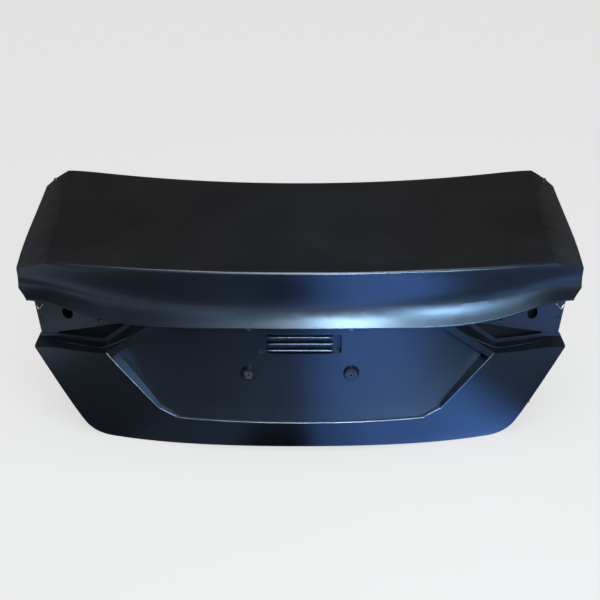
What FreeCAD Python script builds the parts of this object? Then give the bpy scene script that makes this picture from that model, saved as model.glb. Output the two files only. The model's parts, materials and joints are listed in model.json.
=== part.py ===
import FreeCAD, Part
import math
import os
import Sketcher
from FreeCAD import Placement, Rotation, Vector

# Boot lid of a saloon car as bare stampings, in millimetres. X runs across the car,
# the lid faces rearward along -Y and Z is up. The skins are worked out about the middle
# of the rear lip and then placed so that the origin lies between the four hinge bolts,
# on the underside of the hinge seats.

doc = FreeCAD.newDocument("boot_lid")
sizes = doc.addObject("Spreadsheet::Sheet", "Sizes")

values = {
    "halfWidth": 590.0,
    "deckLength": 430.0,
    "frontRise": 52.0,
    "sweepRadius": 1300.0,
    "sheet": 0.8,
    "seam": 0.2,
    "lipRadius": 5.0,
    "lipKick": 3.5,
    "bandHeight": 121.0,
    "bandHollow": 15.0,
    "ledgeDepth": 60.0,
    "fasciaHeight": 404.0,
    "recessDepth": 44.0,
    "lampDepth": 52.0,
    "floorDrop": 28.0,
    "fasciaInset": 80.0,
    "hemReturn": 9.0,
    "rimWidth": 20.0,
    "hingeSpread": 455.0,
    "hingePitch": 50.0,
    "hingeAhead": 430.0,
    "hingeHole": 4.5,
    "latchPitch": 56.0,
    "latchHole": 3.5,
    "latchDrop": 296.0,
    "plateSpread": 105.0,
    "plateDrop": 238.0,
    "plateHole": 3.0,
    "lampHole": 13.0,
    "studHole": 3.3,
}
for row, name in enumerate(values, start=1):
    sizes.set("A%d" % row, name)
    sizes.set("B%d" % row, str(values[name]))
    sizes.setAlias("B%d" % row, name)
doc.recompute()


def size(name):
    return float(getattr(sizes, name))


halfWidth = size("halfWidth")
wide = halfWidth / 590.0
deckLength = size("deckLength")
sweepRadius = size("sweepRadius")
sheet = size("sheet")
seam = size("seam")
bandHeight = size("bandHeight")
tall = size("fasciaHeight") / 404.0
# Layers of sheet counted inward from the outer face of the skin.
skinIn = sheet
rimOut = sheet + seam
rimIn = rimOut + sheet
hemOut = rimIn + seam
hemIn = hemOut + sheet


def sweep(x):
    return sweepRadius - math.sqrt(sweepRadius ** 2 - x ** 2)


def sweepStretch(x):
    return sweepRadius / math.sqrt(sweepRadius ** 2 - x ** 2)


# Deck: a slow rise from the lip to the front edge with a slight kick behind the lip,
# crowned at the lip and nearly level along the front edge.
def deckHeight(x, ahead):
    s = ahead / deckLength
    rise = size("frontRise") * (1.28 * s - 0.28 * s * s)
    kick = size("lipKick") * (s / 0.12) * math.exp(1.0 - s / 0.12)
    u = abs(x) / halfWidth
    lipDrop = 23.2 * u * u
    frontDrop = 21.0 * u ** 16
    return rise - kick - lipDrop * (1.0 - s) - frontDrop * s


# Height of the band under the lip, which loses depth toward both ends.
def bandDrop(x):
    u = abs(x) / halfWidth
    fade = 1.0 / (1.0 + math.exp(-(u - 0.76) / 0.055))
    return bandHeight + 4.0 * u - 38.0 * fade


def bandPoint(x, share):
    hollow = size("bandHollow") * math.sin(math.pi * share ** 1.3)
    lipR = size("lipRadius")
    drop = lipR + (bandDrop(x) - lipR - 3.0) * share
    return hollow, deckHeight(x, lipR) - drop


def splineEdge(points):
    curve = Part.BSplineCurve()
    curve.interpolate(points)
    return curve.toShape()


def unit(a, b):
    n = math.hypot(a, b)
    return a / n, b / n


# One vertical slice through deck, lip, band and ledge, moved inward by `inset`. It gives
# the runs in order: deck, nose, band, lower edge, ledge.
def sliceRuns(x, inset, ledgeEnd):
    stretch = sweepStretch(x)
    start = sweep(x)

    def place(ahead, z):
        return Vector(x, start + ahead, z)

    def inward(point, normal):
        return place(point[0] + normal[0] * inset * stretch, point[1] + normal[1] * inset)

    lipR = size("lipRadius")
    reach = deckLength * 1.32
    deckPoints = []
    for s in (1.0, 0.72, 0.48, 0.3, 0.17, 0.08, 0.03, 0.0):
        ahead = lipR + (reach - lipR) * s
        n = unit(deckHeight(x, ahead + 0.5) - deckHeight(x, ahead - 0.5), -1.0)
        if s == 0.0:
            n = (0.0, -1.0)
        deckPoints.append(inward((ahead, deckHeight(x, ahead)), n))
    noseCentre = (lipR, deckHeight(x, lipR) - lipR)

    def noseAt(angle):
        c, q = math.cos(angle), math.sin(angle)
        return inward((noseCentre[0] - lipR * c, noseCentre[1] + lipR * q), (c, -q))

    bandPoints = []
    for k in range(7):
        share = k / 6.0
        a = bandPoint(x, max(share - 0.01, 0.0))
        b = bandPoint(x, min(share + 0.01, 1.0))
        d = unit(b[0] - a[0], b[1] - a[1])
        endNormal = (1.0, 0.0) if k == 0 else (-d[1], d[0])
        bandPoints.append(inward(bandPoint(x, share), endNormal))
    foot = bandPoint(x, 1.0)
    edgeR = 3.4
    centre = (foot[0] + endNormal[0] * edgeR, foot[1] + endNormal[1] * edgeR)
    ledgeFall = 0.09
    ledgeNormal = unit(ledgeFall, 1.0)
    middle = unit(endNormal[0] + ledgeNormal[0], endNormal[1] + ledgeNormal[1])

    def edgeAt(n):
        return inward((centre[0] - edgeR * n[0], centre[1] - edgeR * n[1]), n)

    ledgeStart = edgeAt(ledgeNormal)
    fall = ledgeFall * (ledgeEnd - (ledgeStart.y - start))
    ledgePoint = place(ledgeEnd, ledgeStart.z - fall)
    return [deckPoints, [deckPoints[-1], noseAt(math.pi / 4), noseAt(0.0)], bandPoints,
            [bandPoints[-1], edgeAt(middle), ledgeStart], [ledgeStart, ledgePoint]]


def runEdge(run):
    if len(run) == 2:
        return Part.makeLine(run[0], run[1])
    if len(run) == 3:
        return Part.Arc(run[0], run[1], run[2]).toShape()
    return splineEdge(run)


stations = [0.0, 0.3, 0.56, 0.74, 0.86, 0.96, 1.05]
allStations = [-s for s in reversed(stations[1:])] + stations


# Solid body under the deck and above the ledge. `spare` moves its hidden closing faces.
def deckBody(inset, spare=0.0):
    wires = []
    for s in allStations:
        runs = sliceRuns(s * halfWidth, inset, size("ledgeDepth") + spare)
        far, last = runs[0][0], runs[-1][-1]
        low = -62.0 - spare
        under = Vector(last.x, last.y, low)
        corner = Vector(far.x, far.y, low)
        edges = [runEdge(run) for run in runs]
        edges += [Part.makeLine(last, under), Part.makeLine(under, corner), Part.makeLine(corner, far)]
        wires.append(Part.Wire(edges))
    solid = Part.makeLoft(wires, True, False)
    return solid.cut([shoulderBlock(1, inset), shoulderBlock(-1, inset)])


# The flat shoulder at each side: a plane through the lip end, the front corner and the
# rear outer corner.
def shoulderBlock(side, inset):
    a = Vector(515.0 * wide, sweep(515.0 * wide), deckHeight(515.0 * wide, 0.0))
    b = Vector(581.0 * wide, sweep(581.0 * wide) + deckLength * 0.835, size("frontRise") * 0.48)
    c = Vector(588.0 * wide, sweep(588.0 * wide), deckHeight(588.0 * wide, 0.0) - 23.0)
    normal = (b - a).cross(c - a)
    normal.normalize()
    if normal.z < 0:
        normal = normal * -1.0
    block = Part.makeBox(900.0, 2400.0, 500.0, Vector(-450.0, -1200.0, -inset))
    block.Placement = Placement(a, Rotation(Vector(0, 0, 1), normal))
    if side < 0:
        block = block.mirror(Vector(0, 0, 0), Vector(1, 0, 0))
    return block


# Closed outline made of straight and curved runs, moved inward by `inset`. The runs go
# round anticlockwise, so inward is to the left of each run.
def insetOutline(runs, inset):
    moved = []
    for run in runs:
        out = []
        for k, p in enumerate(run):
            a = run[max(k - 1, 0)]
            b = run[min(k + 1, len(run) - 1)]
            d = unit(b[0] - a[0], b[1] - a[1])
            out.append((p[0] - d[1] * inset, p[1] + d[0] * inset))
        moved.append(out)
    for k in range(len(moved)):
        first, second = moved[k - 1], moved[k]
        a, b = first[-2], first[-1]
        c, d = second[0], second[1]
        ux, uy = runs[k - 1][-1][0] - runs[k - 1][-2][0], runs[k - 1][-1][1] - runs[k - 1][-2][1]
        vx, vy = runs[k][1][0] - runs[k][0][0], runs[k][1][1] - runs[k][0][1]
        det = ux * vy - uy * vx
        if abs(det) > 1e-6 * math.hypot(ux, uy) * math.hypot(vx, vy):
            w = ((c[0] - b[0]) * vy - (c[1] - b[1]) * vx) / det
            corner = (b[0] + ux * w, b[1] + uy * w)
        else:
            corner = b
        first[-1] = corner
        second[0] = corner
    return moved


def outlineFace(runs, flat):
    edges = []
    for run in runs:
        points = [flat(u, v) for u, v in run]
        if len(points) == 2:
            edges.append(Part.makeLine(points[0], points[1]))
        else:
            edges.append(splineEdge(points))
    return Part.Face(Part.Wire(edges))


# Plan view of the deck: bowed front edge, chamfered front corners, nearly straight sides.
def planPrism(inset):
    front = deckLength
    cornerX, cornerY = 538.0 * wide, front + sweep(538.0 * wide)
    sideY = sweep(581.0 * wide) + front * 0.835
    shares = (-1.0, -0.75, -0.5, -0.25, 0.0, 0.25, 0.5, 0.75, 1.0)
    bow = [(cornerX * s, front + sweep(cornerX * s)) for s in shares]
    bow.reverse()
    rightSide = [(588.0 * wide, -60.0), (588.5 * wide, 141.0), (591.0 * wide, 240.0),
                 (588.5 * wide, 330.0), (581.5 * wide, sideY)]
    corner = [(581.5 * wide, sideY), (cornerX, cornerY)]
    runs = [rightSide, corner, bow]
    runs += [[(-x, y) for x, y in reversed(corner)], [(-x, y) for x, y in reversed(rightSide)]]
    runs.append([(-588.0 * wide, -60.0), (588.0 * wide, -60.0)])
    face = outlineFace(insetOutline(runs, inset), lambda u, v: Vector(u, v, -520.0))
    return face.extrude(Vector(0, 0, 900.0))


# Rear view of the whole lid below the deck: band end, lamp side, wing tip, slanting wing
# edge and the bottom edge.
def frontPrism(inset):
    def p(x, z):
        return x * wide, z * tall
    right = [
        [p(640.0, 260.0), p(-640.0, 260.0)],
        [p(-640.0, 260.0), p(-640.0, -40.0)],
        [p(-640.0, -40.0), p(-588.0, -92.0)],
        [p(-588.0, -92.0), p(-571.0, -107.0)],
        [p(-571.0, -107.0), p(-555.0, -203.0)],
        [p(-555.0, -203.0), p(-563.5, -221.0)],
        [p(-563.5, -221.0), p(-459.5, -386.5)],
        [p(-459.5, -386.5), p(-452.0, -396.0), p(-440.0, -406.0), p(-424.0, -413.0), p(-400.0, -416.0)],
        [p(-400.0, -416.0), p(-330.0, -414.5), p(-200.0, -409.0), p(0.0, -404.0), p(200.0, -409.0),
         p(330.0, -414.5), p(400.0, -416.0)],
        [p(400.0, -416.0), p(424.0, -413.0), p(440.0, -406.0), p(452.0, -396.0), p(459.5, -386.5)],
        [p(459.5, -386.5), p(563.5, -221.0)],
        [p(563.5, -221.0), p(555.0, -203.0)],
        [p(555.0, -203.0), p(571.0, -107.0)],
        [p(571.0, -107.0), p(588.0, -92.0)],
        [p(588.0, -92.0), p(640.0, -40.0)],
        [p(640.0, -40.0), p(640.0, 260.0)],
    ]
    face = outlineFace(insetOutline(right, inset), lambda u, v: Vector(u, -200.0, v))
    return face.extrude(Vector(0, 1200.0, 0))



# Lower skin: one upright profile swept about the same vertical axis as the lip.
fasciaProfile = [(22.0, -98.0), (15.0, -107.0), (11.0, -119.0), (10.0, -135.0), (12.5, -190.0),
                 (16.5, -260.0), (22.0, -330.0), (28.5, -374.0), (38.0, -402.0), (50.0, -424.0)]
recessFloor = [(0.98, -98.0), (1.0, -150.0), (0.98, -220.0), (0.86, -280.0), (0.69, -330.0), (0.58, -352.0)]
lampFloor = [(1.0, -90.0), (1.0, -150.0), (1.0, -210.0), (1.0, -240.0)]
lampBack = [(1.0, -46.0), (1.0, -120.0), (1.0, -200.0), (1.0, -262.0)]


def sweptBody(profile, inset, spare=0.0, stepped=False, inner=480.0, halfAngle=30.0):
    points = []
    for k, p in enumerate(profile):
        a = profile[max(k - 1, 0)]
        b = profile[min(k + 1, len(profile) - 1)]
        d = unit(b[0] - a[0], b[1] - a[1])
        points.append(Vector(0.0, p[0] - d[1] * inset, p[1] + d[0] * inset))
    top, bottom = points[0], points[-1]
    back, step, head = inner + spare, 50.0 - spare, -50.0 + spare
    path = [bottom, Vector(0.0, back, bottom.z)]
    if stepped:
        path += [Vector(0.0, back, head), Vector(0.0, step, head), Vector(0.0, step, top.z), top]
    else:
        lid = profile[0][1] + 2.0 + spare
        path += [Vector(0.0, back, lid), Vector(0.0, top.y, lid), top]
    edges = [splineEdge(points)] + [Part.makeLine(a, b) for a, b in zip(path, path[1:])]
    face = Part.Face(Part.Wire(edges))
    axis = Vector(0.0, sweepRadius, 0.0)
    spread = halfAngle + spare * 0.05
    face.rotate(axis, Vector(0, 0, 1), -spread)
    return face.revolve(axis, Vector(0, 0, 1), 2.0 * spread)


def scaled(profile):
    return [(g, z * tall) for g, z in profile]


def fasciaBody(inset, spare=0.0, stepped=False):
    return sweptBody(scaled(fasciaProfile), inset, spare, stepped)


# Solid forward of a pocket floor, made taller than the pocket.
def floorBody(profile, depth, inset):
    points = []
    for k, (g, z) in enumerate(profile):
        a, b = profile[max(k - 1, 0)], profile[min(k + 1, len(profile) - 1)]
        d = unit((b[0] - a[0]) * depth, (b[1] - a[1]) * tall)
        points.append(Vector(0.0, g * depth - d[1] * inset, z * tall + d[0] * inset))
    top, bottom = points[0], points[-1]
    path = [bottom, Vector(0.0, 420.0, bottom.z), Vector(0.0, 420.0, top.z), top]
    edges = [splineEdge(points)] + [Part.makeLine(a, b) for a, b in zip(path, path[1:])]
    axis = Vector(0.0, sweepRadius, 0.0)
    face = Part.Face(Part.Wire(edges))
    face.rotate(axis, Vector(0, 0, 1), -32.0)
    return face.revolve(axis, Vector(0, 0, 1), 64.0)


# Polygon with arcs at its corners, moved outward by `grow`, on the plane y = `at`.
def cornerWire(points, radius, at):
    n = len(points)
    edges = []
    ends = []
    for k in range(n):
        p, a, b = points[k], points[k - 1], points[(k + 1) % n]
        ua = unit(a[0] - p[0], a[1] - p[1])
        ub = unit(b[0] - p[0], b[1] - p[1])
        half = math.acos(max(-1.0, min(1.0, ua[0] * ub[0] + ua[1] * ub[1]))) / 2.0
        run = radius / math.tan(half)
        first = (p[0] + ua[0] * run, p[1] + ua[1] * run)
        second = (p[0] + ub[0] * run, p[1] + ub[1] * run)
        m = unit(ua[0] + ub[0], ua[1] + ub[1])
        hub = radius / math.sin(half)
        mid = (p[0] + m[0] * (hub - radius), p[1] + m[1] * (hub - radius))
        ends.append((first, mid, second))

    def v(q):
        return Vector(q[0], at, q[1])

    for k in range(n):
        first, mid, second = ends[k]
        edges.append(Part.Arc(v(first), v(mid), v(second)).toShape())
        edges.append(Part.makeLine(v(second), v(ends[(k + 1) % n][0])))
    return Part.Wire(edges)


def growPolygon(points, grow):
    runs = [[points[k], points[(k + 1) % len(points)]] for k in range(len(points))]
    area = sum(a[0] * b[1] - b[0] * a[1] for a, b in runs)
    moved = insetOutline(runs, -grow if area > 0 else grow)
    return [run[0] for run in moved]


# Drafted punch for a pocket: each corner is given where it meets the skin as
# (x, z, y of the skin there) and leans inward as it goes deeper.
def punch(corners, draft, grow, radius, front=-40.0, back=300.0):
    mouth = [(x, z) for x, z, y in corners]
    lean = growPolygon(mouth, -draft)

    def at(y):
        flat = []
        for (x, z, y0), (lx, lz) in zip(corners, lean):
            k = (y - y0) / 40.0
            flat.append((x + (lx - x) * k, z + (lz - z) * k))
        return growPolygon(flat, grow)
    wires = [cornerWire(at(y), max(radius + grow, 1.5), y) for y in (front, back)]
    return Part.makeLoft(wires, True, True)


def seated(points):
    return [(x * wide, z * tall, sweep(x * wide) + g) for x, z, g in points]


recessRight = [(262.0, -100.0, 12.0), (399.5, -206.5, 13.0), (293.0, -321.0, 21.0),
               (252.0, -341.0, 22.0), (120.0, -341.0, 22.0)]
recessCorners = recessRight + [(-x, z, g) for x, z, g in reversed(recessRight)]
lampCorners = [(272.0, -100.0, 12.0), (405.0, -209.0, 13.0), (522.0, -215.0, 13.0),
               (640.0, -238.0, 14.0), (640.0, -60.0, 12.0), (300.0, -60.0, 12.0)]
handleCorners = [(-85.0, -152.0, 44.0), (85.0, -152.0, 44.0), (85.0, -194.0, 44.0), (-85.0, -194.0, 44.0)]


def handleRib(z, inset):
    x = 67.0
    wide0, wide1 = 5.0 - inset, 2.6 - inset
    foot, crest = 66.0, size("recessDepth") + 5.0 + inset
    points = [Vector(-x + inset, foot, z - wide0), Vector(-x + inset, crest, z - wide1),
              Vector(-x + inset, crest, z + wide1), Vector(-x + inset, foot, z + wide0)]
    face = Part.Face(Part.makePolygon(points + [points[0]]))
    return face.extrude(Vector(2.0 * (x - inset), 0, 0))


def plateBoss(side, inset):
    at = Vector(side * size("plateSpread"), size("recessDepth") - 6.0 + inset, -size("plateDrop") * tall)
    return Part.makeCone(13.0 - inset, 19.0 - inset, 14.0, at, Vector(0, 1, 0))


def recessPunch(inset):
    tool = punch(seated(recessCorners), 9.0, inset, 7.0, back=200.0)
    tool = tool.cut(floorBody(recessFloor, size("recessDepth"), inset))
    handle = punch([(x * wide, z * tall, y) for x, z, y in handleCorners], 3.0, inset, 4.0, back=60.0 + inset)
    handle = handle.cut([handleRib(z * tall, inset) for z in (-160.0, -174.5, -189.0)])
    tool = tool.fuse(handle)
    return tool.cut([plateBoss(1, inset), plateBoss(-1, inset)])


def lampOutline(grow, back=260.0):
    return punch(seated(lampCorners), 7.0, grow, 6.0, back=back)


def lampPunch(inset, floor=lampFloor):
    return lampOutline(inset).cut(floorBody(floor, size("lampDepth"), inset))


def mirrored(shape):
    return shape.mirror(Vector(0, 0, 0), Vector(1, 0, 0))


# Everything inside the outer edge of the lid, as seen from above and from the rear.
def edgeBlock(inset):
    return planPrism(inset).common(frontPrism(inset))


edgeFull = edgeBlock(0.0)
edgeFold = edgeFull.cut(edgeBlock(sheet))
edgeTurn = edgeBlock(sheet / 2.0).cut(edgeBlock(size("hemReturn")))


# Hem round the edge of a skin: the folded edge, then the sheet turned back inside.
def addHem(skin, form, keepOut=None):
    fold = edgeFold.common(form(sheet / 2.0)).cut(form(hemIn - sheet / 2.0, 1.0))
    turn = edgeTurn.common(form(hemOut)).cut(form(hemIn, 1.0))
    if keepOut:
        fold, turn = fold.cut(keepOut), turn.cut(keepOut)
    return skin.fuse([fold, turn])


upperShape = addHem(deckBody(0.0).cut(deckBody(skinIn, 1.0)).common(edgeFull), deckBody)


def pressedFascia(inset, spare):
    lamp = lampPunch(inset)
    deck = deckBody(-seam - inset, -spare)
    return fasciaBody(inset, spare).cut([recessPunch(inset), lamp, mirrored(lamp), deck])


lampClear = [lampOutline(3.0), mirrored(lampOutline(3.0))]
lampInner = [lampOutline(-8.0), mirrored(lampOutline(-8.0))]
lowerShape = pressedFascia(0.0, 0.0).cut(pressedFascia(skinIn, 1.0)).common(edgeFull)
lowerShape = lowerShape.cut(lampInner)
lowerShape = addHem(lowerShape, fasciaBody, lampClear)


# Lamp housing: the pocket pressing lies behind the rolled edge of the lower skin.
openingCorners = [(364.0, -153.0, 52.0), (392.0, -158.0, 52.0), (526.0, -199.0, 52.0), (500.0, -203.0, 50.0),
                  (424.0, -203.0, 48.0), (346.0, -168.0, 50.0)]


def lampForm(inset, over):
    blank = fasciaBody(inset, over).common(lampOutline(14.0 + over, 270.0 + over))
    return blank.cut([lampPunch(inset), deckBody(-seam - over * sheet, -over)])


lampShape = lampForm(rimOut, 0.0).cut(lampForm(rimIn, 1.0)).common(edgeBlock(sheet + 0.3))
lampShape = lampShape.cut(punch(seated(openingCorners), 0.5, 0.0, 3.0))
lampShape = max(lampShape.Solids, key=lambda solid: solid.Volume)


# Inner panel: an L-shaped pressing below the deck and ahead of the lower skin.
def innerSlice(x, inset):
    start = sweep(x)
    reach = deckLength * 1.3
    ahead = size("fasciaInset") + inset
    radius = 55.0 - inset
    points = []
    for s in (1.0, 0.75, 0.5, 0.25, 0.0):
        a = ahead + radius + (reach - ahead - radius) * s
        points.append(Vector(x, start + a, deckHeight(x, a) - size("floorDrop") - inset))
    last = points[-1]
    corner = Vector(x, start + ahead, last.z - radius)
    mid = Vector(x, start + ahead + radius * (1.0 - math.sqrt(0.5)), last.z - radius * (1.0 - math.sqrt(0.5)))
    path = [corner, Vector(x, start + ahead, -500.0 * tall), Vector(x, start - 160.0, -500.0 * tall),
            Vector(x, start - 160.0, 240.0), Vector(x, start + reach, 240.0), points[0]]
    edges = [splineEdge(points), Part.Arc(last, mid, corner).toShape()]
    return Part.Wire(edges + [Part.makeLine(a, b) for a, b in zip(path, path[1:])])


hingeX = size("hingeSpread") * wide
hingeY = size("hingeAhead")
hingeSeat = deckHeight(hingeX, hingeY - sweep(hingeX)) - size("floorDrop") - 9.0
latchY = size("fasciaInset") + 5.0
latchZ = -size("latchDrop") * tall


# Room between the skins and the inner panel, with flat seats for hinges and latch.
def cavity(inset):
    wires = [innerSlice(s * halfWidth, inset) for s in allStations]
    room = Part.makeLoft(wires, True, False)
    seats = []
    for side in (-1, 1):
        x = side * hingeX
        seat = Part.makeBox(100.0 + 2 * inset, 124.0 + 2 * inset, 80.0,
                            Vector(x - 50.0 - inset, hingeY - 62.0 - inset, hingeSeat - inset))
        seats.append(seat.makeFillet(14.0 + inset, [e for e in seat.Edges if abs(e.tangentAt(e.FirstParameter).z) > 0.9]))
    latch = Part.makeBox(150.0 + 2 * inset, 200.0, 112.0 + 2 * inset,
                         Vector(-75.0 - inset, latchY - 200.0 + inset, latchZ - 56.0 - inset))
    seats.append(latch.makeFillet(14.0 + inset, [e for e in latch.Edges if abs(e.tangentAt(e.FirstParameter).y) > 0.9]))
    return room.fuse(seats).common(edgeBlock(size("rimWidth") - inset))


def innerForm(inset, spare):
    lamp = lampPunch(rimIn + seam + inset, lampBack)
    form = fasciaBody(rimOut + inset, spare, True).cut([lamp, mirrored(lamp)])
    form = form.fuse(deckBody(rimOut + inset, spare)).common(edgeBlock(sheet + seam - spare))
    return form.cut(cavity(inset))


innerShape = innerForm(0.0, 0.0).cut(innerForm(sheet, 0.5))


# Windows that lighten the inner panel: two each side below the deck (seen from above,
# y counted ahead of the lip sweep) and two each side in the upright part.
deckWindows = [[(42.0, 168.0), (236.0, 168.0), (214.0, 352.0), (42.0, 352.0)],
               [(286.0, 168.0), (512.0, 158.0), (498.0, 214.0), (392.0, 226.0), (388.0, 352.0), (264.0, 352.0)]]
frontWindows = [[(112.0, -168.0), (300.0, -164.0), (300.0, -296.0), (258.0, -330.0), (112.0, -330.0)],
                [(350.0, -238.0), (484.0, -238.0), (424.0, -344.0), (350.0, -344.0)]]


def windowCutters():
    cutters = []
    for corners in deckWindows:
        flat = [(x * wide, (y + sweep(x * wide)) * deckLength / 430.0) for x, y in corners]
        wire = cornerWire(flat, 20.0, 0.0)
        cutter = Part.Face(wire).extrude(Vector(0, 320.0, 0))
        cutter.rotate(Vector(0, 0, 0), Vector(1, 0, 0), -90.0)
        cutter.translate(Vector(0, 0, 210.0 - cutter.BoundBox.ZMax))
        cutters.append(cutter)
    for corners in frontWindows:
        wire = cornerWire([(x * wide, z * tall) for x, z in corners], 18.0, 62.0)
        cutters.append(Part.Face(wire).extrude(Vector(0, 420.0, 0)))
    cutters += [mirrored(c) for c in cutters]
    lock = cornerWire([(-20.0, latchZ - 118.0 + 22.0), (20.0, latchZ - 96.0), (20.0, latchZ - 66.0), (-20.0, latchZ - 66.0)],
                      6.0, latchY - 20.0)
    cutters.append(Part.Face(lock).extrude(Vector(0, 60.0, 0)))
    return cutters


innerShape = innerShape.cut(windowCutters())

lipPlace = Placement(Vector(0.0, -size("hingeAhead"), sheet - hingeSeat), Rotation())


def featureOf(label, shape):
    feature = doc.addObject("Part::Feature", label)
    feature.Shape = shape
    feature.Label = label
    return feature


def drill(label, at, direction, radiusCell, depth=30.0):
    hole = doc.addObject("Part::Cylinder", label)
    hole.setExpression("Radius", "Sizes." + radiusCell)
    hole.Height = depth
    turn = Rotation(Vector(0, 0, 1), direction)
    hole.Placement = Placement(at - direction * (depth / 2.0), turn)
    return hole


def cutNode(label, base, holes):
    tools = doc.addObject("Part::Compound", label + "_cutters")
    tools.Links = holes
    node = doc.addObject("Part::Cut", label)
    node.Base, node.Tool = base, tools
    node.Label = label
    node.Placement = lipPlace
    return node


def onSweep(x, z, ahead):
    reach = sweepRadius - ahead
    return Vector(x, sweepRadius - math.sqrt(reach ** 2 - x ** 2), z)


def sweepNormal(x, ahead):
    reach = sweepRadius - ahead
    return Vector(x / reach, -math.sqrt(1.0 - (x / reach) ** 2), 0.0)


nodes = []

nodes.append(featureOf("upper_outer_panel", upperShape))
nodes[-1].Placement = lipPlace

plateAt = [Vector(side * size("plateSpread"), size("recessDepth"), -size("plateDrop") * tall) for side in (-1, 1)]
plateHoles = [drill("plate_hole_%d" % k, at, Vector(0, 1, 0), "plateHole", 60.0) for k, at in enumerate(plateAt)]
nodes.append(cutNode("lower_outer_panel", featureOf("lower_skin", lowerShape), plateHoles))

# Lamp fixing points: three studs and one wide hole for the wiring plug, per side.
studPoints = [(550.0, -169.0), (454.0, -142.0), (419.5, -153.0)]
plugPoint = (490.0, -148.5)
pocketFloor = size("lampDepth") + rimOut
holes = []
for k, (x, z) in enumerate(studPoints):
    at = onSweep(x * wide, z * tall, pocketFloor)
    holes.append(drill("stud_hole_%d" % k, at, sweepNormal(at.x, pocketFloor), "studHole"))
at = onSweep(plugPoint[0] * wide, plugPoint[1] * tall, pocketFloor)
holes.append(drill("plug_hole", at, sweepNormal(at.x, pocketFloor), "lampHole"))
nodes.append(cutNode("lamp_housing_right", featureOf("lamp_skin", lampShape), holes))
opposite = doc.addObject("Part::Mirroring", "lamp_housing_left")
opposite.Source = nodes[-1]
opposite.Normal = Vector(1, 0, 0)
opposite.Label = "lamp_housing_left"
nodes.append(opposite)

hingeHoles = []
for side in (-1, 1):
    for step in (-0.5, 0.5):
        at = Vector(side * hingeX, hingeY + step * size("hingePitch"), hingeSeat)
        hingeHoles.append(drill("hinge_hole_%d" % len(hingeHoles), at, Vector(0, 0, 1), "hingeHole"))
latchHoles = []
for side in (-1, 1):
    at = Vector(side * size("latchPitch") / 2.0, latchY, latchZ)
    latchHoles.append(drill("latch_hole_%d" % len(latchHoles), at, Vector(0, 1, 0), "latchHole"))
nodes.append(cutNode("inner_panel", featureOf("inner_skin", innerShape), hingeHoles + latchHoles))


# Flat stiffening plate with two bolt holes, drawn in its own plane.
def stiffener(label, length, width, thick, pitchCell, holeCell, place):
    body = doc.addObject("PartDesign::Body", label)
    body.Label = label
    plane = [o for o in body.Origin.OriginFeatures if getattr(o, "Role", "") == "XY_Plane"][0]
    plate = body.newObject("Sketcher::SketchObject", label + "_outline")
    plate.AttachmentSupport = [(plane, "")]
    plate.MapMode = "FlatFace"
    corners = [Vector(-width / 2, -length / 2, 0), Vector(width / 2, -length / 2, 0),
               Vector(width / 2, length / 2, 0), Vector(-width / 2, length / 2, 0)]
    for k in range(4):
        plate.addGeometry(Part.LineSegment(corners[k], corners[(k + 1) % 4]), False)
    pad = body.newObject("PartDesign::Pad", label + "_pad")
    pad.Profile = plate
    pad.Length = thick
    plate.Visibility = False
    doc.recompute()
    rounding = body.newObject("PartDesign::Fillet", label + "_corners")
    upright = ["Edge%d" % (k + 1) for k, e in enumerate(pad.Shape.Edges)
               if abs(e.tangentAt(e.FirstParameter).z) > 0.9]
    rounding.Base = (pad, upright)
    rounding.Radius = 10.0
    holes = body.newObject("Sketcher::SketchObject", label + "_bolts")
    holes.AttachmentSupport = [(plane, "")]
    holes.MapMode = "FlatFace"
    for k, sign in enumerate((-1, 1)):
        half = size(pitchCell) / 2.0
        centre = Vector(0, sign * half, 0)
        holes.addGeometry(Part.Circle(centre, Vector(0, 0, 1), size(holeCell)), False)
        holes.addConstraint(Sketcher.Constraint("Radius", k, size(holeCell)))
        holes.setExpression("Constraints[%d]" % (3 * k), "Sizes." + holeCell)
        holes.addConstraint(Sketcher.Constraint("DistanceY", -1, 1, k, 3, sign * half))
        holes.setExpression("Constraints[%d]" % (3 * k + 1), "Sizes.%s * %s" % (pitchCell, sign * 0.5))
        holes.addConstraint(Sketcher.Constraint("PointOnObject", k, 3, -2))
    pocket = body.newObject("PartDesign::Pocket", label + "_bolt_cut")
    pocket.Profile = holes
    pocket.Midplane = True
    pocket.Type = "ThroughAll"
    body.Tip = pocket
    body.Placement = place
    return body


# Hexagon weld nut with its bore, axis along its own Z, standing on its own XY plane.
def weldNut(label, across, high, bore, place):
    hexagon = doc.addObject("Part::Prism", label + "_hex")
    hexagon.Polygon = 6
    hexagon.Circumradius = across / 2.0 / math.cos(math.pi / 6)
    hexagon.Height = high
    cone = doc.addObject("Part::Cone", label + "_chamfer")
    cone.Radius1 = across / 2.0 + high * 0.9
    cone.Radius2 = across / 2.0 * 0.97
    cone.Height = high
    shaped = doc.addObject("Part::Common", label + "_body")
    shaped.Base, shaped.Tool = hexagon, cone
    hole = doc.addObject("Part::Cylinder", label + "_bore")
    hole.Radius = bore
    hole.Height = high * 3.0
    hole.Placement = Placement(Vector(0, 0, -high), Rotation())
    nut = doc.addObject("Part::Cut", label + "_nut")
    nut.Base, nut.Tool = shaped, hole
    nut.Placement = place
    return nut


def groupNode(label, members):
    node = doc.addObject("Part::Compound", label)
    node.Links = members
    node.Label = label
    node.Placement = lipPlace
    return node


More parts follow.
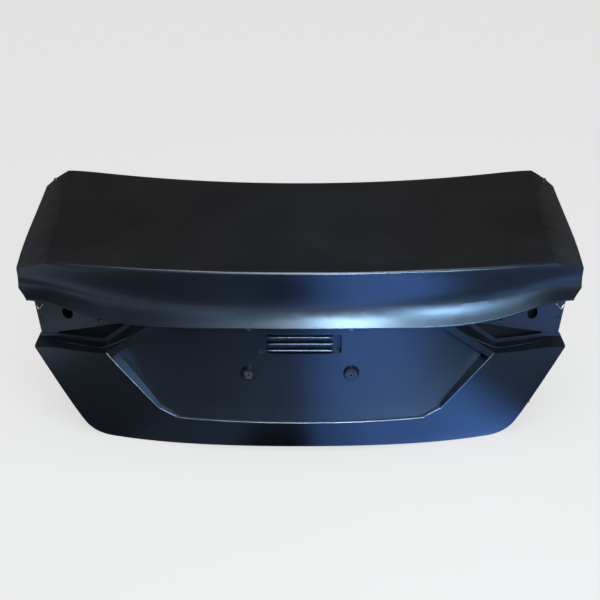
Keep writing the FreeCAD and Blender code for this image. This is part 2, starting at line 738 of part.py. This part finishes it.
plateThick = 2.0
for side, word in ((-1, "left"), (1, "right")):
    seat = Placement(Vector(side * hingeX, hingeY, hingeSeat), Rotation())
    nodes.append(stiffener("hinge_reinforcement_" + word, 100.0, 74.0, plateThick, "hingePitch", "hingeHole",
                           lipPlace.multiply(seat)))
    nuts = [weldNut("hinge_%s_%d" % (word, k), 14.0, 7.0, size("hingeHole") - 0.4,
                    Placement(Vector(side * hingeX, hingeY + step * size("hingePitch"), hingeSeat + plateThick), Rotation()))
            for k, step in enumerate((-0.5, 0.5))]
    nodes.append(groupNode("hinge_weld_nuts_" + word, nuts))

latchTurn = Rotation(Vector(1, 0, 0), 90.0).multiply(Rotation(Vector(0, 0, 1), 90.0))
latchPlate = Placement(Vector(0, latchY, latchZ), latchTurn)
nodes.append(stiffener("latch_reinforcement", 120.0, 80.0, 1.5, "latchPitch", "latchHole", lipPlace.multiply(latchPlate)))
latchNuts = [weldNut("latch_%d" % k, 11.0, 5.5, size("latchHole") - 0.3,
                     Placement(Vector(side * size("latchPitch") / 2.0, latchY - 1.5, latchZ), Rotation(Vector(1, 0, 0), 90.0)))
             for k, side in enumerate((-1, 1))]
nodes.append(groupNode("latch_weld_nuts", latchNuts))


# Square plastic nut pressed into each boss of the plate recess: head outside, shank inside.
def plateNut(label, at):
    head = doc.addObject("Part::Box", label + "_head")
    head.Length = head.Width = 15.0
    head.Height = 2.4
    head.Placement = Placement(Vector(-7.5, -7.5, 0.0), Rotation())
    bore = doc.addObject("Part::Cylinder", label + "_bore")
    bore.Radius = size("plateHole") - 0.7
    bore.Height = 40.0
    bore.Placement = Placement(Vector(0, 0, -20.0), Rotation())
    shank = doc.addObject("Part::Cylinder", label + "_shank")
    shank.Radius = size("plateHole") - 0.1
    shank.Height = 12.0
    shank.Placement = Placement(Vector(0, 0, -12.0), Rotation())
    whole = doc.addObject("Part::Fuse", label + "_whole")
    whole.Base, whole.Tool = head, shank
    nut = doc.addObject("Part::Cut", label)
    nut.Base, nut.Tool = whole, bore
    nut.Placement = Placement(at, Rotation(Vector(1, 0, 0), 90.0))
    return nut


bossFace = size("recessDepth") - 6.0
plateNuts = [plateNut("plate_nut_%d" % k, Vector(at.x, bossFace, at.z)) for k, at in enumerate(plateAt)]
nodes.append(groupNode("plate_screw_nuts", plateNuts))

for side, word in ((-1, "left"), (1, "right")):
    nuts = []
    for k, (x, z) in enumerate(studPoints):
        at = onSweep(side * x * wide, z * tall, pocketFloor + sheet)
        turn = Rotation(Vector(0, 0, 1), sweepNormal(at.x, pocketFloor) * -1.0)
        nuts.append(weldNut("lamp_%s_%d" % (word, k), 10.0, 5.0, size("studHole") - 0.5, Placement(at, turn)))
    nodes.append(groupNode("lamp_weld_nuts_" + word, nuts))

doc.recompute()
os.makedirs("parts", exist_ok=True)
for node in nodes:
    shape = node.Shape
    if shape.isNull() or not shape.isValid():
        raise RuntimeError("bad shape: " + node.Label)
for item in doc.Objects:
    if "Invalid" in item.State or "Error" in item.State:
        raise RuntimeError("bad state: " + item.Label)
for node in nodes:
    node.Shape.exportStep("parts/" + node.Label + ".step")
    print(node.Label, len(node.Shape.Solids), round(node.Shape.Volume))
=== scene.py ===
# Bare pressed-steel trunk lid, dressed for a studio picture.
# Metres, in the part's own frame: x across the car, the rear faces -y, z is up.
import json
import math
import bpy
import bmesh
from mathutils import Vector, Matrix
from mathutils.bvhtree import BVHTree

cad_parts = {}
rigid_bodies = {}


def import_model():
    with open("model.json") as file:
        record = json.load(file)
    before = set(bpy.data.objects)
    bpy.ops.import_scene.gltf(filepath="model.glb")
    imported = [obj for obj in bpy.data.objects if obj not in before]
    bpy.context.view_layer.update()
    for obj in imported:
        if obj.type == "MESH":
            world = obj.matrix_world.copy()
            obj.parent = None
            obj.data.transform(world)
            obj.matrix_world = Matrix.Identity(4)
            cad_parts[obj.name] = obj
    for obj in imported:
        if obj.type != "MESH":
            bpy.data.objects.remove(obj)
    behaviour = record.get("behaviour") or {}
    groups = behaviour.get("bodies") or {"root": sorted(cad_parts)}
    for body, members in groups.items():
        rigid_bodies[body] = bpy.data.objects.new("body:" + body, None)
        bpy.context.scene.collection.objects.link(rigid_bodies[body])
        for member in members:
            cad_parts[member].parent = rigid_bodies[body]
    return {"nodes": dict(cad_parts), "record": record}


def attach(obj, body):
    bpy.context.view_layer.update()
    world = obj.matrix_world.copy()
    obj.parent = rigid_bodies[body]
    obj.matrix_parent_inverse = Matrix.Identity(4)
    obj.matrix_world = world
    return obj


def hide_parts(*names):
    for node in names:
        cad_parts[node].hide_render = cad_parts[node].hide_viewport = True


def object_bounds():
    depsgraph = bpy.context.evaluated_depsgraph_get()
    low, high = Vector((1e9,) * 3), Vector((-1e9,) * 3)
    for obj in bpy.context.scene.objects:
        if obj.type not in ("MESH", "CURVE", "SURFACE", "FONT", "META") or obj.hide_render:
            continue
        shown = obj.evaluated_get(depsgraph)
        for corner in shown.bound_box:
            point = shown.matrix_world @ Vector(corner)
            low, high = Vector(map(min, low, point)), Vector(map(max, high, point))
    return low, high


for startObject in list(bpy.data.objects):  # the startup cube would count in the measured box
    bpy.data.objects.remove(startObject)
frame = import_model()
nodes = frame["nodes"]
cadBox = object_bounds()
scene = bpy.context.scene
print("frame loaded,", len(nodes), "sheets and fasteners")


def link(tree, source, output, target, socket):
    tree.links.new(source.outputs[output], target.inputs[socket])


def nodeOf(tree, kind):
    return next(n for n in tree.nodes if n.type == kind)


def noiseOn(tree, place, scale, detail):
    # a cloud pattern that sits on the piece in metres
    turn = tree.nodes.new("ShaderNodeMapping")
    link(tree, place, "Object", turn, "Vector")
    noise = tree.nodes.new("ShaderNodeTexNoise")
    noise.inputs["Scale"].default_value = scale
    noise.inputs["Detail"].default_value = detail
    link(tree, turn, "Vector", noise, "Vector")
    return noise


def splitAxes(tree, source, output):
    split = tree.nodes.new("ShaderNodeSeparateXYZ")
    link(tree, source, output, split, "Vector")
    return split


def spread(tree, source, output, fromLow, fromHigh, toLow, toHigh):
    reach = tree.nodes.new("ShaderNodeMapRange")
    reach.inputs["From Min"].default_value = fromLow
    reach.inputs["From Max"].default_value = fromHigh
    reach.inputs["To Min"].default_value = toLow
    reach.inputs["To Max"].default_value = toHigh
    link(tree, source, output, reach, "Value")
    return reach


def combine(tree, operation, first, firstOut, second, secondOut):
    result = tree.nodes.new("ShaderNodeMath")
    result.operation = operation
    link(tree, first, firstOut, result, 0)
    link(tree, second, secondOut, result, 1)
    return result


def twoTones(tree, noise, dark, pale, low=0.38, high=0.66):
    ramp = tree.nodes.new("ShaderNodeValToRGB")
    ramp.color_ramp.elements[0].position = low
    ramp.color_ramp.elements[0].color = (*dark, 1)
    ramp.color_ramp.elements[1].position = high
    ramp.color_ramp.elements[1].color = (*pale, 1)
    link(tree, noise, "Fac", ramp, "Fac")
    return ramp


def dusted(tree, place, tones, look):
    # a thin brown tone on the upward-facing deck, stronger towards its outer sides
    split = splitAxes(tree, place, "Object")
    across = tree.nodes.new("ShaderNodeMath")
    across.operation = "ABSOLUTE"
    link(tree, split, "X", across, 0)
    outward = spread(tree, across, "Value", 0, look["dustWidth"], look["dustMiddle"], look["dustAmount"])
    facing = tree.nodes.new("ShaderNodeNewGeometry")
    tilt = splitAxes(tree, facing, "Normal")
    upward = spread(tree, tilt, "Z", *look["dustSlope"], 0, 1)
    film = combine(tree, "MULTIPLY", outward, "Result", upward, "Result")
    deckOnly = spread(tree, split, "Z", *look["dustHeight"], 0, 1)
    aboveBand = combine(tree, "MULTIPLY", film, "Value", deckOnly, "Result")
    mix = tree.nodes.new("ShaderNodeMix")
    mix.data_type = "RGBA"
    link(tree, aboveBand, "Value", mix, "Factor")
    link(tree, tones, "Color", mix, 6)
    mix.inputs[7].default_value = (*look["dust"], 1)
    return mix


def finish(name, look):
    material = bpy.data.materials.new(name)
    material.use_nodes = True
    tree = material.node_tree
    shader = nodeOf(tree, "BSDF_PRINCIPLED")
    place = tree.nodes.new("ShaderNodeTexCoord")
    patches = noiseOn(tree, place, look["patch"], 4)
    tones = twoTones(tree, patches, look["dark"], look["pale"])
    if "dust" in look:
        link(tree, dusted(tree, place, tones, look), 2, shader, "Base Color")
    else:
        link(tree, tones, "Color", shader, "Base Color")
    wear = noiseOn(tree, place, look["patch"] * 3, 3)
    gloss = spread(tree, wear, "Fac", 0.3, 0.7, *look["rough"])
    link(tree, gloss, "Result", shader, "Roughness")
    grain = noiseOn(tree, place, look["grain"], 2)
    bump = tree.nodes.new("ShaderNodeBump")
    bump.inputs["Strength"].default_value = look["grainStrength"]
    bump.inputs["Distance"].default_value = 0.0004
    link(tree, grain, "Fac", bump, "Height")
    link(tree, bump, "Normal", shader, "Normal")
    shader.inputs["Metallic"].default_value = look["metal"]
    shader.inputs["Specular IOR Level"].default_value = look["specular"]
    shader.inputs["Coat Weight"].default_value = look["coat"]
    shader.inputs["Coat Roughness"].default_value = look["coatRough"]
    return material


coatOutside = dict(dark=(0.070, 0.087, 0.114), pale=(0.086, 0.107, 0.140), patch=2.4, rough=(0.29, 0.34),
                   grain=700, grainStrength=0.05, metal=0.96, specular=0.5, coat=0.08, coatRough=0.14,
                   dust=(0.085, 0.07, 0.056), dustMiddle=0.35, dustAmount=0.9, dustWidth=0.6,
                   dustSlope=(0.55, 0.95), dustHeight=(-0.03, 0))
# the inside coat is near-black and far darker than the outside coat: partly the coat's own black, partly
# painted shade for the inside seen through the openings
coatInsideAndShade = dict(dark=(0.004, 0.0045, 0.006), pale=(0.008, 0.009, 0.012), patch=3.0, rough=(0.45, 0.58),
                  grain=500, grainStrength=0.08, metal=0.0, specular=0.22, coat=0.0, coatRough=0.2)
# a pale metal finish that paints a highlight on the crease and grip crown beads, where satin black ridges
# would only show the lamps' reflection
paintedHighlightEdge = dict(dark=(0.20, 0.25, 0.33), pale=(0.28, 0.34, 0.43), patch=60, rough=(0.26, 0.34),
                  grain=900, grainStrength=0.08, metal=0.96, specular=0.5, coat=0.0, coatRough=0.1)
plainZinc = dict(dark=(0.42, 0.44, 0.46), pale=(0.6, 0.62, 0.64), patch=120, rough=(0.28, 0.42),
                 grain=1500, grainStrength=0.15, metal=1.0, specular=0.5, coat=0.0, coatRough=0.1)
yellowZinc = dict(dark=(0.48, 0.33, 0.12), pale=(0.72, 0.56, 0.26), patch=140, rough=(0.25, 0.4),
                  grain=1500, grainStrength=0.15, metal=1.0, specular=0.5, coat=0.0, coatRough=0.1)
darkNylon = dict(dark=(0.02, 0.021, 0.024), pale=(0.035, 0.036, 0.04), patch=160, rough=(0.45, 0.6),
                 grain=2500, grainStrength=0.2, metal=0.0, specular=0.4, coat=0.0, coatRough=0.2)
rustDot = dict(dark=(0.10, 0.035, 0.018), pale=(0.22, 0.085, 0.04), patch=200, rough=(0.6, 0.8),
               grain=1800, grainStrength=0.3, metal=0.0, specular=0.3, coat=0.0, coatRough=0.2)
finishes = {
    "coated_outer": finish("satinCoatOutside", coatOutside),
    "coated_inner": finish("satinCoatInside", coatInsideAndShade),
    "zinc_steel": finish("plainZincSteel", plainZinc),
    "yellow_zinc": finish("yellowZincSteel", yellowZinc),
    "dark_nylon": finish("darkNylon", darkNylon)}
rustMaterial = finish("brownedSealer", rustDot)
paintedHighlightMaterial = finish("rubbedEdgeCoat", paintedHighlightEdge)
print("finishes ready")


def layOut(name, work, material):
    mesh = bpy.data.meshes.new(name)
    work.to_mesh(mesh)
    work.free()
    mesh.materials.append(material)
    piece = bpy.data.objects.new(name, mesh)
    scene.collection.objects.link(piece)
    return piece


def addPiece(name, work, slotName, material=None):
    piece = layOut(name, work, material or finishes[slotName])
    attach(piece, "root")
    return piece


def shadeByAngle(work, degrees):
    limit = math.radians(degrees)
    for face in work.faces:
        face.smooth = True
    for edge in work.edges:
        edge.smooth = len(edge.link_faces) == 2 and edge.calc_face_angle(0) < limit


# each sheet is a merged copy of the frame's mesh with clean shading
sheetShading = dict(mergeWithin=0.00002, sharpAbove=24)


def dressSheet(node, name, slotName):
    work = bmesh.new()
    work.from_mesh(nodes[node].data)
    bmesh.ops.remove_doubles(work, verts=work.verts, dist=sheetShading["mergeWithin"])
    shadeByAngle(work, sheetShading["sharpAbove"])
    piece = addPiece(name, work, slotName)
    even = piece.modifiers.new("even shading", "WEIGHTED_NORMAL")
    even.keep_sharp = True
    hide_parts(node)
    return piece


slotOf = {entry["node"]: entry["material_slot"] for entry in frame["record"]["subparts"]}
for node in sorted(nodes):
    words = node.split("_")
    dressSheet(node, words[0] + "".join(w.title() for w in words[1:]), slotOf[node])
print("sheets and fasteners dressed")


# the small details below are in millimetres, as a sheet-metal drawing is
def bendSmoothly(points, perSpan):
    # a rounded path through the given points
    ends = [points[0] * 2 - points[1]] + points + [points[-1] * 2 - points[-2]]
    path = []
    for i in range(1, len(ends) - 2):
        before, start, stop, after = ends[i - 1:i + 3]
        for step in range(perSpan):
            t = step / perSpan
            path.append(0.5 * (2 * start + (stop - before) * t
                               + (2 * before - 5 * start + 4 * stop - after) * t * t
                               + (3 * start - before - 3 * stop + after) * t ** 3))
    path.append(points[-1])
    return path


def skinTree(node):
    mesh = nodes[node].data
    return BVHTree.FromPolygons([v.co for v in mesh.vertices], [p.vertices for p in mesh.polygons])


def levelHit(skin, x, z):
    # where a level line from behind the car meets the skin
    return skin.ray_cast(Vector((x, -1, z)), Vector((0, 1, 0)))[0]


upperSkin = skinTree("upper_outer_panel")
lowerSkin = skinTree("lower_outer_panel")


def rolledBead(name, points, radius, slotName, perSpan=6, sunkIn=None, material=None, segments=12):
    path = bendSmoothly([Vector(p) / 1000 for p in points], perSpan)
    if sunkIn is not None:
        path = [levelHit(lowerSkin, spot.x, spot.z) + Vector((0, sunkIn / 1000, 0)) for spot in path]
    work = bmesh.new()
    rings = []
    for i, spot in enumerate(path):
        ahead = path[min(i + 1, len(path) - 1)] - path[max(i - 1, 0)]
        turn = ahead.to_track_quat("Z", "Y").to_matrix().to_4x4()
        atEnd = i in (0, len(path) - 1)
        narrow = 0.4 if atEnd else 1
        made = bmesh.ops.create_circle(work, cap_ends=atEnd, segments=segments,
                                       radius=radius * narrow / 1000,
                                       matrix=Matrix.Translation(spot) @ turn)
        rings.append(made["verts"])
    for first, second in zip(rings, rings[1:]):
        loops = [e for ring in (first, second) for e in {e for v in ring for e in v.link_edges}
                 if all(v in ring for v in e.verts)]
        bmesh.ops.bridge_loops(work, edges=loops)
    bmesh.ops.recalc_face_normals(work, faces=work.faces)
    shadeByAngle(work, 50)
    return addPiece(name, work, slotName, material)


def standOn(point, facing):
    turn = Vector(facing).to_track_quat("Z", "Y").to_matrix().to_4x4()
    return Matrix.Translation(Vector(point) / 1000) @ turn


def stub(name, point, facing, radius, height, slotName, material=None):
    work = bmesh.new()
    bmesh.ops.create_cone(work, cap_ends=True, segments=24, radius1=radius / 1000,
                          radius2=radius * 0.85 / 1000, depth=height / 1000)
    rim = [e for e in work.edges if all(v.co.z > 0 for v in e.verts)]
    bmesh.ops.bevel(work, geom=rim, offset=radius * 0.3 / 1000, affect="EDGES", segments=3,
                    profile=0.5, material=-1)
    bmesh.ops.transform(work, matrix=standOn(point, facing), verts=work.verts)
    shadeByAngle(work, 40)
    return addPiece(name, work, slotName, material)


def hook(name, point, size, rounding, slotName):
    work = bmesh.new()
    bmesh.ops.create_cube(work, size=0.001)
    bmesh.ops.scale(work, vec=size, verts=work.verts)
    bmesh.ops.bevel(work, geom=work.edges, offset=rounding / 1000, affect="EDGES", segments=2,
                    profile=0.5, material=-1)
    bmesh.ops.translate(work, vec=Vector(point) / 1000, verts=work.verts)
    shadeByAngle(work, 40)
    return addPiece(name, work, slotName)


def mirroredPoints(points, side):
    return [(x * side, y, z) for x, y, z in points]


# the rear lip has its own smooth roll along the foremost line of the upper skin
lipRoll = dict(radius=5.0, proud=0.15, top=-2.0, searchSteps=60, searchStep=0.5, nearest=0.04,
               halfLength=505, stations=28, perSpan=3, segments=40)


def lipFront(x):
    # the skin's rearmost point under the lip at this station
    hits = []
    for step in range(lipRoll["searchSteps"]):
        height = lipRoll["top"] - step * lipRoll["searchStep"]
        spot = levelHit(upperSkin, x / 1000, height / 1000)
        if spot:
            hits.append(spot)
    foremost = min(spot.y for spot in hits)
    near = [spot.z for spot in hits if spot.y < foremost + lipRoll["nearest"] / 1000]
    return x, foremost * 1000 + lipRoll["radius"] - lipRoll["proud"], sum(near) / len(near) * 1000


stations = [lipRoll["halfLength"] * (2 * i / lipRoll["stations"] - 1) for i in range(lipRoll["stations"] + 1)]
rolledBead("lipRoll", [lipFront(x) for x in stations], lipRoll["radius"], "coated_outer",
           lipRoll["perSpan"], segments=lipRoll["segments"])

recessCrease = dict(radius=1.3, steps=4, sunkIn=0.3,
                    half=[(398.0, -213.5), (393.5, -219.5), (300.5, -319.5), (292.0, -326.8),
                          (258.0, -343.2), (248.0, -345.4), (120.0, -345.4)])
halfPath = [(x, 0, z) for x, z in recessCrease["half"]]
# the crease bead takes the pale finish: a painted highlight line along the recess edge
rolledBead("recessCrease", halfPath + mirroredPoints(halfPath[::-1], -1), recessCrease["radius"],
           "coated_outer", recessCrease["steps"], sunkIn=recessCrease["sunkIn"], material=paintedHighlightMaterial)

gripCrown = dict(radius=2.3, reach=65.5, back=-380.4, heights=(-163.5, -178.0, -192.5))
# the grip crowns take the pale finish: painted highlight lines along the ribs
for number, height in enumerate(gripCrown["heights"], 1):
    crownLine = [(x, gripCrown["back"], height) for x in (-gripCrown["reach"], 0, gripCrown["reach"])]
    rolledBead(f"gripCrown{number}", crownLine, gripCrown["radius"], "coated_outer", material=paintedHighlightMaterial)

lampBead = dict(radius=2.4, points=[(349.2, -367.5, -168), (371, -353.5, -184.2), (395, -336, -200.6),
                                    (420, -325, -210), (474, -301, -212.1), (530, -271, -215.2)])
gussetRib = dict(radius=1.6, points=[(543, -252.5, -140.5), (549, -250, -148), (554.3, -247.4, -155.4),
                                     (559.5, -244.8, -149.5), (564, -242.4, -143.2)])
bandHook = dict(across=102.3, back=-424.5, height=-126.5, size=(7, 2.4, 3.6), rounding=0.6)
frontStud = dict(across=563, back=78, height=33.2, facing=(0.42, -0.17, 0.89), radius=3.2, tall=7)
for side, word in ((1, "Right"), (-1, "Left")):
    rolledBead("lampBead" + word, mirroredPoints(lampBead["points"], side), lampBead["radius"],
               "coated_outer")
    rolledBead("gussetRib" + word, mirroredPoints(gussetRib["points"], side), gussetRib["radius"],
               "zinc_steel")
    hook("bandHook" + word, (bandHook["across"] * side, bandHook["back"], bandHook["height"]),
         bandHook["size"], bandHook["rounding"], "zinc_steel")
    facing = mirroredPoints([frontStud["facing"]], side)[0]
    stub("frontStud" + word, (frontStud["across"] * side, frontStud["back"], frontStud["height"]),
         facing, frontStud["radius"], frontStud["tall"], "coated_outer")

# one browned dot of sealer sits on the right rim of the lower skin
sealerDot = dict(height=-343.5, within=6, sunkIn=0.8, facing=(0.8, 0.2, -0.5), radius=3.4, tall=5)
rim = max((v.co for v in nodes["lower_outer_panel"].data.vertices
           if abs(v.co.z * 1000 - sealerDot["height"]) < sealerDot["within"]), key=lambda spot: spot.x)
stub("sealerDot", (rim.x * 1000 - sealerDot["sunkIn"], rim.y * 1000, sealerDot["height"]),
     sealerDot["facing"], sealerDot["radius"], sealerDot["tall"], "coated_outer", rustMaterial)
print("small details made")


floorSheet = dict(size=140, gap=0.0005, tone=(0.8, 0.8, 0.8), cloud=0.6, rough=0.9, specular=0.1,
                  evenShare=0.85, evenTone=(0.812, 0.81, 0.808))


def buildFloor():
    work = bmesh.new()
    bmesh.ops.create_grid(work, x_segments=1, y_segments=1, size=floorSheet["size"] / 2)
    bmesh.ops.translate(work, verts=work.verts, vec=(0, 0, cadBox[0][2] - floorSheet["gap"]))
    material = bpy.data.materials.new("paleFloor")
    material.use_nodes = True
    tree = material.node_tree
    shader = nodeOf(tree, "BSDF_PRINCIPLED")
    place = tree.nodes.new("ShaderNodeTexCoord")
    cloud = noiseOn(tree, place, floorSheet["cloud"], 2)
    low = tuple(c * 0.99 for c in floorSheet["tone"])
    tones = twoTones(tree, cloud, low, floorSheet["tone"])
    link(tree, tones, "Color", shader, "Base Color")
    shader.inputs["Roughness"].default_value = floorSheet["rough"]
    shader.inputs["Specular IOR Level"].default_value = floorSheet["specular"]
    # an even pale tone is mixed in for what is seen directly or in a reflection, and the shadow stays
    way = tree.nodes.new("ShaderNodeLightPath")
    seen = combine(tree, "MAXIMUM", way, "Is Camera Ray", way, "Is Glossy Ray")
    seen = combine(tree, "MAXIMUM", seen, "Value", way, "Is Transmission Ray")
    share = spread(tree, seen, "Value", 0, 1, 0, floorSheet["evenShare"])
    even = tree.nodes.new("ShaderNodeEmission")
    even.inputs["Color"].default_value = (*floorSheet["evenTone"], 1)
    blend = tree.nodes.new("ShaderNodeMixShader")
    link(tree, share, "Result", blend, "Fac")
    link(tree, shader, "BSDF", blend, 1)
    link(tree, even, "Emission", blend, 2)
    # clear from below, so that the underside of the lid can be looked at
    under = tree.nodes.new("ShaderNodeNewGeometry")
    clear = tree.nodes.new("ShaderNodeBsdfTransparent")
    sides = tree.nodes.new("ShaderNodeMixShader")
    link(tree, under, "Backfacing", sides, "Fac")
    link(tree, blend, "Shader", sides, 1)
    link(tree, clear, "BSDF", sides, 2)
    link(tree, sides, "Shader", nodeOf(tree, "OUTPUT_MATERIAL"), "Surface")
    floor = layOut("floor", work, material)


room = dict(wallTone=0.7, ceilingTone=0.03, wallTop=0.13, wallFade=0.24, openSide=0.12,
            openFrom=-0.55, openTo=-0.05)


def buildRoom():
    # pale low walls all round under a dark ceiling, dim on the camera's side
    world = bpy.data.worlds.new("studio")
    scene.world = world
    world.use_nodes = True
    tree = world.node_tree
    back = nodeOf(tree, "BACKGROUND")
    way = tree.nodes.new("ShaderNodeTexCoord")
    split = splitAxes(tree, way, "Generated")
    ramp = tree.nodes.new("ShaderNodeValToRGB")
    wall = room["wallTone"]
    top = room["ceilingTone"]
    ramp.color_ramp.elements[0].position = room["wallTop"]
    ramp.color_ramp.elements[0].color = (wall, wall, wall, 1)
    ramp.color_ramp.elements[1].position = room["wallFade"]
    ramp.color_ramp.elements[1].color = (top, top, top * 1.1, 1)
    link(tree, split, "Z", ramp, "Fac")
    side = spread(tree, split, "Y", room["openFrom"], room["openTo"], room["openSide"], 1)
    link(tree, ramp, "Color", back, "Color")
    link(tree, side, "Result", back, "Strength")


# each tone is a place across the card and its colour
card = dict(halfWidth=3.0, halfDepth=2.6, back=-2.5, lift=-0.0002, strength=2.1, reach=2, tones=[
    (-2.0, (0.025, 0.025, 0.027)), (-1.2, (0.03, 0.03, 0.032)), (-1.0, (0.2, 0.205, 0.21)),
    (-0.86, (0.16, 0.165, 0.17)), (-0.72, (0.02, 0.02, 0.022)), (-0.4, (0.017, 0.017, 0.02)),
    (-0.3, (0.04, 0.045, 0.055)), (-0.15, (0.04, 0.055, 0.08)), (-0.09, (0.002, 0.002, 0.003)),
    (-0.01, (0.002, 0.002, 0.003)), (0.07, (0.1, 0.2, 0.45)), (0.2, (0.17, 0.35, 0.8)),
    (0.4, (0.2, 0.42, 0.95)), (0.6, (0.036, 0.045, 0.06)), (0.84, (0.036, 0.045, 0.06)),
    (1.0, (0.13, 0.21, 0.4)), (1.3, (0.13, 0.21, 0.4)), (2.0, (0.03, 0.032, 0.04))])


def buildCard():
    # a lit card on the floor that only the gloss sees: it covers the pale floor in the lid's reflections
    work = bmesh.new()
    bmesh.ops.create_grid(work, x_segments=1, y_segments=1, size=1)
    bmesh.ops.scale(work, vec=(card["halfWidth"], card["halfDepth"], 1), verts=work.verts)
    bmesh.ops.translate(work, vec=(0, card["back"], cadBox[0][2] + card["lift"]), verts=work.verts)
    material = bpy.data.materials.new("reflectorCard")
    material.use_nodes = True
    tree = material.node_tree
    glow = tree.nodes.new("ShaderNodeEmission")
    place = tree.nodes.new("ShaderNodeTexCoord")
    split = splitAxes(tree, place, "Object")
    across = spread(tree, split, "X", -card["reach"], card["reach"], 0, 1)
    ramp = tree.nodes.new("ShaderNodeValToRGB")
    ramp.color_ramp.interpolation = "EASE"
    stops = ramp.color_ramp.elements
    for at, colour in card["tones"][1:-1]:
        stops.new((at / card["reach"] + 1) / 2).color = (*colour, 1)
    for at, colour in (card["tones"][0], card["tones"][-1]):
        stop = stops[0 if at < 0 else -1]
        stop.position = (at / card["reach"] + 1) / 2
        stop.color = (*colour, 1)
    link(tree, across, "Result", ramp, "Fac")
    link(tree, ramp, "Color", glow, "Color")
    glow.inputs["Strength"].default_value = card["strength"]
    link(tree, glow, "Emission", nodeOf(tree, "OUTPUT_MATERIAL"), "Surface")
    sheet = layOut("reflectorCard", work, material)
    sheet.visible_camera = False
    sheet.visible_diffuse = False
    sheet.visible_shadow = False
    sheet.visible_transmission = False


def softbox(name, place, target, width, height, watts, colour=(1, 1, 1)):
    lamp = bpy.data.lights.new(name, "AREA")
    lamp.shape = "RECTANGLE"
    lamp.size = width
    lamp.size_y = height
    lamp.energy = watts
    lamp.color = colour
    box = bpy.data.objects.new(name, lamp)
    box.location = place
    box.rotation_euler = (Vector(target) - Vector(place)).to_track_quat("-Z", "Y").to_euler()
    box.visible_camera = False
    scene.collection.objects.link(box)


buildFloor()
buildRoom()
buildCard()
ceilingLight = dict(energy=1.7, softness=50, height=5)
sun = bpy.data.lights.new("ceiling", "SUN")
sun.energy = ceilingLight["energy"]
sun.angle = math.radians(ceilingLight["softness"])
ceiling = bpy.data.objects.new("ceiling", sun)
ceiling.location = (0, 0, ceilingLight["height"])
scene.collection.objects.link(ceiling)
lamps = dict(
    lipStrip=dict(place=(-0.08, -3.1, 2.15), target=(0, -0.4, 0), width=1.7, height=0.3, watts=16),
    topFront=dict(place=(0.25, -2.2, 2.7), target=(0, -0.4, -0.1), width=2.2, height=0.9, watts=55),
    bandGlint=dict(place=(0.75, -3.2, 1.38), target=(0.07, -0.42, -0.11), width=0.85, height=0.42, watts=62,
                   colour=(0.68, 0.9, 1.0)),
    blueSide=dict(place=(1.57, -2.45, 0.27), target=(0.3, -0.38, -0.1), width=0.4, height=0.7, watts=26,
                  colour=(0.55, 0.82, 1.0)),
    leftFill=dict(place=(-1.15, -3.17, 0.52), target=(-0.15, -0.41, -0.1), width=0.5, height=0.4, watts=1.6,
                  colour=(0.4, 0.62, 1.0)))
for name, lamp in lamps.items():
    softbox(name, **lamp)
print("studio ready")

camera = dict(place=(0, -2.8605, 0.9214), tilt=68, fieldOfView=25.46, farthest=60)
lens = bpy.data.cameras.new("pictureCamera")
lens.angle = math.radians(camera["fieldOfView"])
lens.clip_end = camera["farthest"]
viewer = bpy.data.objects.new("pictureCamera", lens)
viewer.location = camera["place"]
viewer.rotation_euler = (math.radians(camera["tilt"]), 0, 0)
scene.collection.objects.link(viewer)
scene.camera = viewer
scene.view_settings.view_transform = "Standard"
